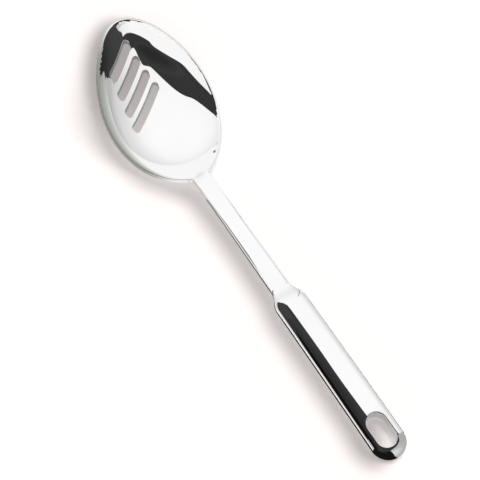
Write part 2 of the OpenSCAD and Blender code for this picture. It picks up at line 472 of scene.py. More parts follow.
@dataclass(frozen=True)
class Eye:
    """The oblong hanging eye, in the handle's frame."""

    length: float = 0.0222
    width: float = 0.0126
    land: float = 0.0066
    sleeve: float = 0.0013
    gap: float = 0.00003

    def centre_x(self, grip: Grip) -> float:
        """Give the place of the eye's centre along the handle."""
        return grip.length - self.land - self.length / 2.0

    def outline(self, grip: Grip, out: float, step: float) -> np.ndarray:
        """Draw the eye's edge, counter-clockwise.

        Args:
            grip: The handle that it passes through.
            out: How far outside the clear opening.
            step: Distance between neighbouring points of the clear opening.

        Returns:
            The points of the closed edge.
        """
        clear = oblong(self.length - self.width, self.width / 2.0, step)
        reach = (self.length - self.width) / 2.0
        spine = np.stack([np.clip(clear[:, 0], -reach, reach), np.zeros(len(clear))], axis=1)
        grown = spine + (clear - spine) * (1.0 + 2.0 * out / self.width)
        return grown + np.array([self.centre_x(grip), 0.0])


@dataclass
class Net:
    """A flat net of points and triangles that a sheet's two faces share.

    Each point has the angle of the rounded edge that it lies on, from 0 at the wall to a right
    angle on the open face, how far it has dropped below the face there, and the direction away
    from the metal.
    """

    points: list[np.ndarray] = field(default_factory=list)
    angles: list[np.ndarray] = field(default_factory=list)
    drops: list[np.ndarray] = field(default_factory=list)
    outs: list[np.ndarray] = field(default_factory=list)
    triangles: list[np.ndarray] = field(default_factory=list)
    size: int = 0

    def add_points(
        self,
        xy: np.ndarray,
        angle: float = RIGHT_ANGLE,
        drop: np.ndarray | None = None,
        out: np.ndarray | None = None,
    ) -> np.ndarray:
        """Add points to the net.

        Args:
            xy: The flat points.
            angle: Their angle on the rounded edge.
            drop: How far each lies below the face, or nothing on the open face.
            out: The direction away from the metal at each, or nothing on the open face.

        Returns:
            Their numbers in the net.
        """
        numbers = np.arange(self.size, self.size + len(xy))
        self.points.append(xy)
        self.angles.append(np.full(len(xy), angle))
        self.drops.append(np.zeros(len(xy)) if drop is None else drop)
        self.outs.append(np.zeros((len(xy), 3)) if out is None else out)
        self.size += len(xy)
        return numbers

    def add_bands(self, rows: list[np.ndarray], closed: bool) -> None:
        """Join neighbouring rows of the same length, each on the left of the one before.

        Args:
            rows: Numbers of each row's points.
            closed: Whether the rows close on themselves.
        """
        for outer, inner in zip(rows, rows[1:]):
            a, b = (outer, np.roll(outer, -1)) if closed else (outer[:-1], outer[1:])
            c, d = (inner, np.roll(inner, -1)) if closed else (inner[:-1], inner[1:])
            self.triangles.append(np.stack([a, b, d], axis=1))
            self.triangles.append(np.stack([a, d, c], axis=1))

    def close_end(self, row: np.ndarray, x: float, step: float) -> np.ndarray:
        """Close an open row with points straight across, and give the closed row.

        Args:
            row: Numbers of the row's points.
            x: Where the straight end lies.
            step: Distance between its points.

        Returns:
            Numbers of the closed row's points.
        """
        y = np.concatenate(self.points)[row[[-1, 0]], 1]
        across = evenly(np.array([[x, y[0]], [x, y[1]]]), step)[1:-1]
        return np.concatenate([row, self.add_points(across)])

    def fill(
        self,
        loops: list[np.ndarray],
        loose: np.ndarray,
        step: float,
        keep: Callable[[np.ndarray], np.ndarray],
    ) -> None:
        """Triangulate the space between closed rows, through loose points.

        Args:
            loops: Numbers of the points of each closed row.
            loose: Points to set between them, where there is room.
            step: Distance between the loose points.
            keep: Test that takes the middles of triangles and says which to keep.
        """
        loose = loose[self.clear_of(loose, loops, step * NEIGHBOUR_SHARE)]
        numbers = np.concatenate(loops + [self.add_points(loose)])
        xy = np.concatenate(self.points)
        edges, start = [], 0
        for loop in loops:
            edges += [(start + i, start + (i + 1) % len(loop)) for i in range(len(loop))]
            start += len(loop)
        flat = [Vector(p) for p in (xy[numbers] * MILLIMETRES).tolist()]
        _, _, faces, origins, _, _ = delaunay_2d_cdt(flat, edges, [], 1, CDT_MARGIN, True)
        back = np.array([numbers[o[0]] if o else -1 for o in origins])
        made = back[np.array([f for f in faces if len(f) == 3])]
        made = made[(made >= 0).all(axis=1)]
        a, b, c = (xy[made[:, k]] for k in range(3))
        turn = (b[:, 0] - a[:, 0]) * (c[:, 1] - a[:, 1]) - (b[:, 1] - a[:, 1]) * (c[:, 0] - a[:, 0])
        made[turn < 0] = made[turn < 0][:, ::-1]
        self.triangles.append(made[keep((a + b + c) / 3.0) & (np.abs(turn) > FLAT_AREA)])

    def clear_of(self, xy: np.ndarray, rows: list[np.ndarray], gap: float) -> np.ndarray:
        """Say which points keep a gap from all points of some rows.

        Args:
            xy: The points to test.
            rows: Numbers of each row's points.
            gap: The gap to keep.

        Returns:
            Whether each point keeps the gap.
        """
        own = np.concatenate(self.points)[np.concatenate(rows)]
        free = np.ones(len(xy), bool)
        for part in np.array_split(own, max(len(own) // BATCH, 1)):
            free &= (np.linalg.norm(xy[:, None] - part[None], axis=2) > gap).all(axis=1)
        return free

    def border(self) -> np.ndarray:
        """Give the edges that only one triangle uses, each with its triangle on its left.

        Returns:
            The two points of each edge.
        """
        tri = np.concatenate(self.triangles)
        edges = np.concatenate([tri[:, [0, 1]], tri[:, [1, 2]], tri[:, [2, 0]]])
        seen = set(map(tuple, edges.tolist()))
        return np.array([e for e in edges.tolist() if (e[1], e[0]) not in seen])


def lattice(low: tuple[float, float], high: tuple[float, float], step: float) -> np.ndarray:
    """Lay out points in even triangles over a box.

    Args:
        low: The box's lower corner.
        high: Its upper corner.
        step: Distance between neighbours.

    Returns:
        The points.
    """
    cols = np.arange(low[0], high[0], step)
    rows = np.arange(low[1], high[1], step * math.sqrt(0.75))
    shifted = [(cols + (i % 2) * step / 2.0, np.full(len(cols), y)) for i, y in enumerate(rows)]
    return np.concatenate([np.stack(row, axis=1) for row in shifted])


@dataclass
class Solid:
    """Points, faces and corner normals of a closed piece, in the drawing frame.

    Attributes:
        points: Its points.
        faces: Groups of faces of the same number of corners.
        normals: The normal at each corner of each group.
        slots: The material that each group takes.
        edge: How far each point lies round a rounded edge, from 0 to 1.
        haze: How much painted shade dulls and darkens each point, where a piece has it.
    """

    points: np.ndarray
    faces: list[np.ndarray]
    normals: list[np.ndarray]
    slots: list[int]
    edge: np.ndarray
    haze: np.ndarray | None = None

    @classmethod
    def from_net(
        cls, net: Net, top: np.ndarray, top_normal: np.ndarray, low: np.ndarray, low_normal: np.ndarray
    ) -> "Solid":
        """Close a sheet from its two faces, with a wall along each edge of the net.

        Args:
            net: The flat net.
            top: Its points on the upper face.
            top_normal: Their normals.
            low: Its points on the lower face.
            low_normal: Their normals.

        Returns:
            The closed solid, with its faces in slot 0 and its walls in slot 1.
        """
        count = len(top)
        tri = np.concatenate(net.triangles)
        edge = net.border()
        wall = np.stack([edge[:, 1], edge[:, 0], edge[:, 0] + count, edge[:, 1] + count], axis=1)
        points = np.concatenate([top, low])
        corner = points[wall]
        across = unit(np.cross(corner[:, 1] - corner[:, 0], corner[:, 3] - corner[:, 0]))
        both = np.concatenate([unit(top_normal), unit(low_normal)])
        angles = np.concatenate(net.angles)
        rounded = (angles[edge] < TINY).all(axis=1)
        wall_normal = np.where(rounded[:, None, None], both[wall], across[:, None, :])
        turned = tri[:, ::-1] + count
        normals = [both[tri], both[turned], wall_normal]
        edge_share = np.tile(1.0 - angles / RIGHT_ANGLE, 2)
        return cls(points, [tri, turned, wall], normals, [0, 0, 1], edge_share)

    def make(self, name: str, rest: Rest, materials: Materials) -> bpy.types.Object:
        """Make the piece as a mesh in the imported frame.

        Args:
            name: The piece's name.
            rest: How the spoon lies.
            materials: The materials that its faces choose from.

        Returns:
            The new object, linked to the scene.
        """
        mesh = bpy.data.meshes.new(name)
        corners = np.concatenate([f.ravel() for f in self.faces])
        totals = np.concatenate([np.full(len(f), f.shape[1]) for f in self.faces])
        slots = np.concatenate([np.full(len(f), s) for f, s in zip(self.faces, self.slots)])
        mesh.vertices.add(len(self.points))
        mesh.vertices.foreach_set("co", rest.place(self.points).astype(np.float32).ravel())
        mesh.loops.add(len(corners))
        mesh.loops.foreach_set("vertex_index", corners.astype(np.int32))
        mesh.polygons.add(len(totals))
        starts = np.concatenate([[0], np.cumsum(totals)[:-1]])
        mesh.polygons.foreach_set("loop_start", starts.astype(np.int32))
        mesh.polygons.foreach_set("material_index", slots.astype(np.int32))
        mesh.polygons.foreach_set("use_smooth", np.ones(len(totals), bool))
        mesh.update(calc_edges=True)
        mesh.validate()
        normals = rest.turn(np.concatenate([n.reshape(-1, 3) for n in self.normals]))
        mesh.normals_split_custom_set(unit(normals).tolist())
        # The painted shade under the rim, where a piece has it, and the share round the rounded edges,
        # stored at the points
        for attribute, values in (("painted_rim_shade", self.haze), ("rounded_edge", self.edge)):
            if values is not None:
                layer = mesh.attributes.new(attribute, "FLOAT", "POINT")
                layer.data.foreach_set("value", np.clip(values, 0.0, 1.0).astype(np.float32))
        for material in materials:
            mesh.materials.append(material)
        piece = bpy.data.objects.new(name, mesh)
        bpy.context.scene.collection.objects.link(piece)
        return piece


@dataclass(frozen=True)
class Graph:
    """The nodes of a material or a world, with short ways to add those that the spoon uses."""

    nodes: bpy.types.Nodes
    links: bpy.types.NodeLinks

    @classmethod
    def of(cls, owner: bpy.types.Material | bpy.types.World) -> "Graph":
        """Switch on an owner's nodes and take them up."""
        owner.use_nodes = True
        return cls(owner.node_tree.nodes, owner.node_tree.links)

    def feed(self, socket: Socket, value: object) -> None:
        """Give an input a constant value, or link another node's output to it.

        Args:
            socket: The input.
            value: The constant, or the other node's output.
        """
        if isinstance(value, Socket):
            self.links.new(value, socket)
        else:
            socket.default_value = value

    def add(
        self, kind: str, output: str, inputs: dict[str | int, object], **settings: str
    ) -> Socket:
        """Add a node.

        Args:
            kind: Its type, without the words that all shader nodes share.
            output: The name of the wanted output.
            inputs: What its inputs take, by name or number.
            settings: Its own settings.

        Returns:
            The wanted output.
        """
        node = self.nodes.new("ShaderNode" + kind)
        for name, value in settings.items():
            setattr(node, name, value)
        for key, value in inputs.items():
            self.feed(node.inputs[key], value)
        return node.outputs[output]

    def place(self) -> Socket:
        """Give the place on the surface."""
        return self.add("TexCoord", "Object", {})

    def attribute(self, name: str) -> Socket:
        """Give a value that the mesh holds at its points."""
        return self.add("Attribute", "Fac", {}, attribute_name=name)

    def ray(self, kind: str) -> Socket:
        """Say whether the ray that arrives is of a kind, such as a camera ray."""
        return self.add("LightPath", kind, {})

    def seen(self) -> Socket:
        """Say whether the camera, the metal or glass looks this way."""
        both = self.math("MAXIMUM", self.ray("Is Camera Ray"), self.ray("Is Glossy Ray"))
        return self.math("MAXIMUM", both, self.ray("Is Transmission Ray"))

    def math(self, operation: str, *values: object) -> Socket:
        """Work out a number from others."""
        return self.add("Math", "Value", dict(enumerate(values)), operation=operation)

    def noise(self, place: Socket, scale: float, detail: float) -> Socket:
        """Add a noise from 0 to 1, with its features a metre and its finer layers."""
        return self.add("TexNoise", "Fac", {"Scale": scale, "Detail": detail, "Vector": place})

    def stretch(
        self, value: object, span: tuple[float, float], result: tuple[float, float] = (0.0, 1.0)
    ) -> Socket:
        """Stretch a value from one span to another, and hold it inside."""
        ends = {"From Min": span[0], "From Max": span[1], "To Min": result[0], "To Max": result[1]}
        return self.add("MapRange", "Result", {**ends, "Value": value})

    def mix(self, factor: object, a: object, b: object) -> Socket:
        """Mix two numbers."""
        return self.add("Mix", "Result", {"Factor": factor, "A": a, "B": b})

    def tint(self, factor: object, a: object, b: object) -> Socket:
        """Mix two colours, each given as a colour or as another node's output."""
        a, b = ((*c, 1.0) if isinstance(c, tuple) else c for c in (a, b))
        return self.add("Mix", "Result", {"Factor": factor, "A": a, "B": b}, data_type="RGBA")

    def distance(self, centre: Vector) -> Socket:
        """Give the distance on the surface from a place."""
        return self.add("VectorMath", "Value", {1: centre, 0: self.place()}, operation="DISTANCE")

    def levels(self, value: Socket, stops: Outline) -> Socket:
        """Turn a value into a brightness by a row of stops.

        Args:
            value: The value.
            stops: Rising values, each with its brightness.

        Returns:
            The brightness.
        """
        low, high = stops[0][0], stops[-1][0]
        ramp = self.nodes.new("ShaderNodeValToRGB")
        row = ramp.color_ramp.elements
        for at, level in stops[1:-1]:
            row.new((at - low) / (high - low)).color = (level, level, level, 1.0)
        for stop, (_, level) in ((row[0], stops[0]), (row[-1], stops[-1])):
            stop.color = (level, level, level, 1.0)
        self.feed(ramp.inputs["Fac"], self.stretch(value, (low, high)))
        return ramp.outputs["Color"]


@dataclass(frozen=True)
class SteelFinish:
    """A polished or satin stainless surface with the fine marks that polishing leaves.

    Attributes:
        name: The material's name.
        bright: Colour of the metal where it is cleanest.
        dull: Colour of the metal under a light haze.
        roughness: Roughness where the polish is best.
        haze: Extra roughness where it is worst.
        scratch: Extra roughness in a hairline scratch.
        lines: Polishing lines a metre along x, y and z.
        line_depth: Depth of the polishing lines.
        wave: Height of the slow unevenness of the pressed sheet.
        worn_edge: Extra roughness on the rounded edges.
        rim_shade_colour: Colour of the painted shade under part of the bowl's rim.
        haze_scale: Patches of haze a metre.
        haze_span: Levels of the haze between which the polish grows rough.
        dull_span: Levels of the haze between which the metal grows dull.
        dull_most: How dull the haze makes it.
        rim_shade_dullness: How dull the painted shade under the rim makes the metal.
        line_share: Roughness of the polishing lines, as a share of the haze's.
        wave_scale: Waves of the pressed sheet a metre.
        scratch_scale: Scratches a metre along their own x, y and z.
        scratch_turn: How far the scratches turn from the spoon's length.
        scratch_span: Levels of their noise between which a scratch appears.
    """

    name: str
    bright: Place
    dull: Place
    roughness: float
    haze: float
    scratch: float
    lines: Place
    line_depth: float
    wave: float
    worn_edge: float
    rim_shade_colour: Place = (0.36, 0.37, 0.34)
    haze_scale: float = 55.0
    haze_span: tuple[float, float] = (0.35, 0.75)
    dull_span: tuple[float, float] = (0.3, 0.9)
    dull_most: float = 0.2
    rim_shade_dullness: float = 0.8
    line_share: float = 0.5
    wave_scale: float = 28.0
    scratch_scale: Place = (90.0, 1400.0, 300.0)
    scratch_turn: float = 0.6
    scratch_span: tuple[float, float] = (0.70, 0.76)

    def build(self) -> bpy.types.Material:
        """Make the material's nodes.

        Returns:
            The new material.
        """
        material = bpy.data.materials.new(self.name)
        graph = Graph.of(material)
        shader = graph.nodes["Principled BSDF"].inputs
        shader["Metallic"].default_value = 1.0
        place = graph.place()
        drawn = graph.add("Mapping", "Vector", {"Vector": place, "Scale": self.lines})
        lines = graph.noise(drawn, 1.0, detail=3.0)
        haze = graph.noise(place, self.haze_scale, detail=4.0)
        wave = graph.noise(place, self.wave_scale, detail=1.0)

        rough = graph.stretch(haze, self.haze_span, (self.roughness, self.roughness + self.haze))
        for marks, amount in (
            (lines, self.haze * self.line_share),
            (self.hairlines(graph, place), self.scratch),
            (graph.attribute("rounded_edge"), self.worn_edge),
        ):
            rough = graph.math("MULTIPLY_ADD", marks, amount, rough)
        graph.feed(shader["Roughness"], rough)

        # The rim attribute paints shade under part of the bowl's rim: it dulls the metal there and darkens
        # it to the shade colour
        rim = graph.attribute("painted_rim_shade")
        patches = graph.stretch(haze, self.dull_span, (0.0, self.dull_most))
        haze_and_rim_shade = graph.math("MULTIPLY_ADD", rim, self.rim_shade_dullness, patches)
        metal = graph.tint(haze_and_rim_shade, self.bright, self.dull)
        graph.feed(shader["Base Color"], graph.tint(rim, metal, self.rim_shade_colour))

        slow = graph.add("Bump", "Normal", {"Distance": self.wave, "Height": wave})
        grooves = {"Distance": self.line_depth, "Height": lines, "Normal": slow}
        graph.feed(shader["Normal"], graph.add("Bump", "Normal", grooves))
        return material

    def hairlines(self, graph: Graph, place: Socket) -> Socket:
        """Add the rare hairline scratches that washing and stacking leave.

        Args:
            graph: The material's nodes.
            place: Where the scratches are read.

        Returns:
            One in a scratch and zero beside it.
        """
        turn = {"Rotation": (0.0, 0.0, self.scratch_turn), "Scale": self.scratch_scale}
        swirl = graph.add("Mapping", "Vector", {**turn, "Vector": place})
        return graph.stretch(graph.noise(swirl, 1.0, detail=2.0), self.scratch_span)


MIRROR_STEEL = SteelFinish(
    name="mirror_steel",
    bright=(0.972, 0.974, 0.972),
    dull=(0.78, 0.795, 0.78),
    roughness=0.012,
    haze=0.018,
    scratch=0.05,
    lines=(120.0, 2600.0, 2600.0),
    line_depth=1.2e-8,
    wave=7e-6,
    worn_edge=0.03,
)

CUT_EDGE_STEEL = SteelFinish(
    name="cut_edge_steel",
    bright=(0.90, 0.90, 0.895),
    dull=(0.80, 0.80, 0.795),
    roughness=0.10,
    haze=0.08,
    scratch=0.06,
    lines=(900.0, 900.0, 4200.0),
    line_depth=4e-7,
    wave=4e-6,
    worn_edge=0.05,
)


@dataclass
class BowlAndShank:
    """The stamping that makes the bowl, its heel and the shank."""

    blank: Blank = Blank()
    slots: Slots = Slots()
    rim_round: float = 0.00055
    slot_round: float = 0.00035
    rim_degrees: tuple[float, ...] = (0.0, 4.0, 10.0, 18.0, 28.0, 40.0, 52.0, 64.0, 76.0, 83.7)
    slot_degrees: tuple[float, ...] = (0.0, 18.0, 36.0, 54.0, 72.0, 90.0)
    edge_step: float = 0.0006
    slot_step: float = 0.00042
    face_step: float = 0.0011
    shank_power: float = 8.0
    squared_from: float = 0.008
    squared_to: float = 0.045
    edge_limit: float = 0.97
    upright_share: float = 0.25
    slide_rounds: int = 4
    # Where the painted shade under the rim reaches: narrow at the neck, wider towards the tip, and on one
    # side only
    rim_shade_near_neck: float = 0.10
    rim_shade_growth: float = 0.42
    rim_shade_start: float = 0.002
    rim_shade_run: float = 0.02
    rim_shade_aside: float = 0.2
    rim_shade_widens_from: float = 0.005
    rim_shade_widens_over: float = 0.05

    def edge_out(self, base: np.ndarray, closed: bool) -> np.ndarray:
        """Give the directions away from the metal along an edge.

        Args:
            base: Flat points of the edge.
            closed: Whether the edge closes on itself.

        Returns:
            The direction at each point.
        """
        path = self.blank.upper(base)
        if closed:
            along = np.roll(path, -1, axis=0) - np.roll(path, 1, axis=0)
        else:
            along = np.gradient(path, axis=0)
        return unit(np.cross(unit(along), self.blank.normal(base)))

    def rim_reach(self, base: np.ndarray, angle: float) -> tuple[np.ndarray, np.ndarray]:
        """Give how far in and down a ring of the rim lies, round in the bowl and fuller on the shank.

        Args:
            base: Flat points of the edge.
            angle: The ring's angle, from 0 at the wall.

        Returns:
            The distance in from the edge, and the drop below the face, for each point.
        """
        share = smooth((base[:, 0] - self.squared_from) / (self.squared_to - self.squared_from))
        wide, thick = self.blank.half_width(base[:, 0]), self.blank.sheet(base[:, 0]) / 2.0
        power = 2.0 / self.shank_power
        level, steep = max(math.cos(angle), 0.0), max(math.sin(angle), TINY)
        bowl_round = (1.0 - share) * self.rim_round
        inward = bowl_round * (1.0 - math.cos(angle)) + share * wide * (1.0 - level**power)
        down = bowl_round * (1.0 - math.sin(angle)) + share * thick * (1.0 - steep**power)
        return inward, np.minimum(down, thick * self.edge_limit)

    def slot_reach(self, base: np.ndarray, angle: float) -> tuple[np.ndarray, np.ndarray]:
        """Give how far in and how far down a ring of a slot's edge lies."""
        even = np.full(len(base), self.slot_round)
        return even * (1.0 - math.cos(angle)), even * (1.0 - math.sin(angle))

    def add_rings(self, net: Net, base: np.ndarray, is_rim: bool) -> np.ndarray:
        """Add the rings of a rounded edge to the net, from the wall to the open face.

        Args:
            net: The net.
            base: Flat points of the edge, with the metal on its left.
            is_rim: Whether it is the open outer edge, or else a slot's closed one.

        Returns:
            Numbers of the innermost ring's points.
        """
        away = self.edge_out(base, not is_rim)
        rows = []
        for degrees in self.rim_degrees if is_rim else self.slot_degrees:
            angle = math.radians(degrees)
            inward, down = self.rim_reach(base, angle) if is_rim else self.slot_reach(base, angle)
            xy = base - away[:, :2] * inward[:, None]
            if is_rim:
                xy[[0, -1], 0] = base[[0, -1], 0]
            rows.append(net.add_points(xy, angle, down, away))
        net.add_bands(rows, not is_rim)
        return rows[-1]

    def build(self, rest: Rest, materials: Materials) -> bpy.types.Object:
        """Build the mesh: two faces over one net, rounded edges and walls.

        Args:
            rest: How the spoon lies.
            materials: The steel of its faces, and that of its cut edges.

        Returns:
            The new object.
        """
        blank, slots = self.blank, self.slots
        net = Net()
        rim = self.add_rings(net, blank.outline(self.edge_step), True)
        edges = [slots.outline(index, self.slot_step) for index in range(slots.count)]
        loops = [self.add_rings(net, edge, False) for edge in edges]
        loops.insert(0, net.close_end(rim, blank.shank_length, self.face_step))
        low, high = (-blank.bowl_length, -blank.bowl_width), (blank.shank_length, blank.bowl_width)
        loose = lattice(low, high, self.face_step)
        loose = loose[np.abs(loose[:, 1]) < blank.half_width(loose[:, 0]) - self.rim_round]
        loose = loose[slots.depth_inside(loose) < -self.slot_round]
        loose = loose[loose[:, 0] > -blank.bowl_length]
        net.fill(loops, loose, self.face_step, self.on_metal)

        xy = np.concatenate(net.points)
        angle = np.concatenate(net.angles)[:, None]
        drop, away = np.concatenate(net.drops)[:, None], np.concatenate(net.outs)
        up = blank.normal(xy)
        top = blank.upper(xy) - drop * up
        top_normal = np.sin(angle) * up + np.cos(angle) * away
        slid = self.slide(xy)
        under = blank.normal(slid)
        low = blank.upper(slid) - (blank.sheet(slid[:, 0])[:, None] - drop) * under
        low_normal = -np.sin(angle) * under + np.cos(angle) * away
        solid = Solid.from_net(net, top, top_normal, low, low_normal)
        # Painted shade under the rim, on one side of the bowl
        solid.haze = np.tile(self.rim_shade_share(xy), 2)
        return solid.make("bowl_and_shank_polished", rest, materials)

    def open_share(self, xy: np.ndarray) -> np.ndarray:
        """Give how open each point lies, from 0 at the rim to 1 in the bowl's middle.

        Args:
            xy: Points of the flat outline.

        Returns:
            The share of each.
        """
        x, y = xy.T
        m = 2.0 * self.blank.tip_share(x) - 1.0
        return (1.0 - m * m) * (1.0 - (y / np.maximum(self.blank.half_width(x), TINY)) ** 2)

    def rim_shade_share(self, xy: np.ndarray) -> np.ndarray:
        """Give the painted shade under the rim, on one side of the bowl.

        Args:
            xy: Points of the flat outline.

        Returns:
            The painted shade at each, from 0 to 1.
        """
        x, y = xy.T
        widening = smooth((-x - self.rim_shade_widens_from) / self.rim_shade_widens_over)
        reach = self.rim_shade_near_neck + self.rim_shade_growth * widening
        started = smooth((-x - self.rim_shade_start) / self.rim_shade_run)
        aside = smooth(-self.rim_shade_aside - y / self.rim_shade_run)
        return smooth(1.0 - self.open_share(xy) / reach) * started * aside

    def on_metal(self, xy: np.ndarray) -> np.ndarray:
        """Say which flat points lie inside the outline and outside the slots."""
        inside = np.abs(xy[:, 1]) < self.blank.half_width(xy[:, 0])
        return inside & (self.slots.depth_inside(xy) < 0.0)

    def slide(self, xy: np.ndarray) -> np.ndarray:
        """Slide points over the underside so that the slots' walls stand upright.

        Args:
            xy: Points of the flat outline, over the upper face.

        Returns:
            The points under which the sheet ends.
        """
        weight = smooth(self.open_share(xy) / self.upright_share)[:, None]
        slid = xy
        for _ in range(self.slide_rounds):
            slid = xy + weight * self.blank.sheet(slid[:, 0])[:, None] * self.blank.normal(slid)[:, :2]
        return slid


@dataclass
class HandleShell:
    """One of the two pressed shells of the hollow handle."""

    side: Side
    blank: Blank = Blank()
    grip: Grip = Grip()
    eye: Eye = Eye()
    edge_step: float = 0.0007
    face_step: float = 0.0011
    row_degrees: tuple[float, ...] = (
        0.0, 2.0, 4.0, 7.0, 10.0, 14.0, 19.0, 25.0, 31.0, 38.0, 45.0, 53.0,
    )
    worn_from: float = 0.97
    worn_run: float = 0.03
    eye_blend: float = 0.002

    def build(self, rest: Rest, materials: Materials) -> bpy.types.Object:
        """Build the mesh: outer and inner skin over one net, with walls at mouth, seam and eye.

        Args:
            rest: How the spoon lies.
            materials: The steel of its faces, and that of its cut edges.

        Returns:
            The new object.
        """
        grip, eye = self.grip, self.eye
        net = Net()
        base = grip.outline(self.edge_step)
        spine = grip.spine(base)
        rows = []
        for degrees in self.row_degrees:
            share = self.row_share(base, degrees)[:, None]
            rows.append(net.add_points(spine + (base - spine) * share))
        net.add_bands(rows, False)
        hole = net.add_points(eye.outline(grip, eye.sleeve + eye.gap, self.edge_step)[::-1])
        rim = net.close_end(rows[-1], 0.0, self.face_step)
        loose = lattice((0.0, -grip.end_width), (grip.length, grip.end_width), self.face_step)
        last = self.row_share(loose, self.row_degrees[-1])
        loose = loose[(grip.seam_share(loose) < last) & (loose[:, 0] > 0.0)]
        loose = loose[self.away_from_eye(loose) > 0.0]
        net.fill([rim, hole], loose, self.face_step, self.on_metal)
        xy = np.concatenate(net.points)
        outer, normal = self.face(xy)
        inner = self.inside(xy)
        if self.side is Side.UPPER:
            solid = Solid.from_net(net, outer, normal, inner, -normal)
        else:
            solid = Solid.from_net(net, inner, -normal, outer, normal)
        solid.points = solid.points + np.array([self.blank.shank_length, 0.0, 0.0])
        solid.edge = np.tile(smooth((grip.seam_share(xy) - self.worn_from) / self.worn_run), 2)
        name = "handle_top_shell_polished" if self.side is Side.UPPER else "handle_bottom_shell_polished"
        return solid.make(name, rest, materials)

    def row_share(self, xy: np.ndarray, degrees: float) -> np.ndarray:
        """Give how far out a row of points runs, as a share of the way to the seam."""
        return math.cos(math.radians(degrees)) ** (2.0 / self.grip.power(xy[:, 0]))

    def on_metal(self, xy: np.ndarray) -> np.ndarray:
        """Say which flat points lie inside the outline and outside the eye."""
        return (self.grip.seam_share(xy) < 1.0) & (self.away_from_eye(xy) > 0.0)

    def away_from_eye(self, xy: np.ndarray) -> np.ndarray:
        """Give the distance from the shell's cut for the eye, below zero inside it.

        Args:
            xy: Points of the flat outline.

        Returns:
            The distance of each.
        """
        eye = self.eye
        reach = (eye.length - eye.width) / 2.0
        local = xy - np.array([eye.centre_x(self.grip), 0.0])
        return from_spine(local, reach) - eye.width / 2.0 - eye.sleeve - eye.gap

    def face(self, xy: np.ndarray) -> tuple[np.ndarray, np.ndarray]:
        """Give points and normals of the outer skin.

        Args:
            xy: Points of the flat outline.

        Returns:
            The skin's points, and its normals pointing out of the handle.
        """
        grip, side = self.grip, self.side
        skin = grip.skin(xy, side)
        x, y = xy.T
        n = grip.power(x)
        r = np.clip(grip.seam_share(xy), 0.0, 1.0)
        fall = np.maximum(1.0 - r**n, 0.0)
        half = grip.reach(x)
        step = np.array([SLOPE_STEP, 0.0])
        crest = np.stack([x, 0.0 * y], axis=1)
        above, below = grip.skin(crest + step, side), grip.skin(crest - step, side)
        rise = (above[:, 2] - below[:, 2]) / (2.0 * SLOPE_STEP)
        widen = (grip.half_width(x + SLOPE_STEP) - grip.half_width(x - SLOPE_STEP)) / (2.0 * SLOPE_STEP)
        outward = (r ** (n - 1.0))[:, None] / half[:, None] * unit(xy - grip.spine(xy))
        outward[:, 0] -= np.where(x > grip.end_x, 0.0, r**n * widen / half)
        upward = fall ** ((n - 1.0) / n) / grip.height(x, side)
        outward[:, 0] -= rise * upward * side.value
        return skin, unit(np.concatenate([outward, side.value * upward[:, None]], axis=1))

    def inside(self, xy: np.ndarray) -> np.ndarray:
        """Give points of the inner skin, which the closed handle hides.

        Args:
            xy: Points of the flat outline.

        Returns:
            The points in three dimensions.
        """
        grip = self.grip
        spine = grip.spine(xy)
        near_eye = smooth(1.0 - self.away_from_eye(xy) / self.eye_blend)
        draw = 1.0 - (1.0 - near_eye) * grip.shell / grip.reach(xy[:, 0])
        inner = grip.skin(xy, self.side, grip.shell)
        inner[:, :2] = spine + (xy - spine) * draw[:, None]
        return inner


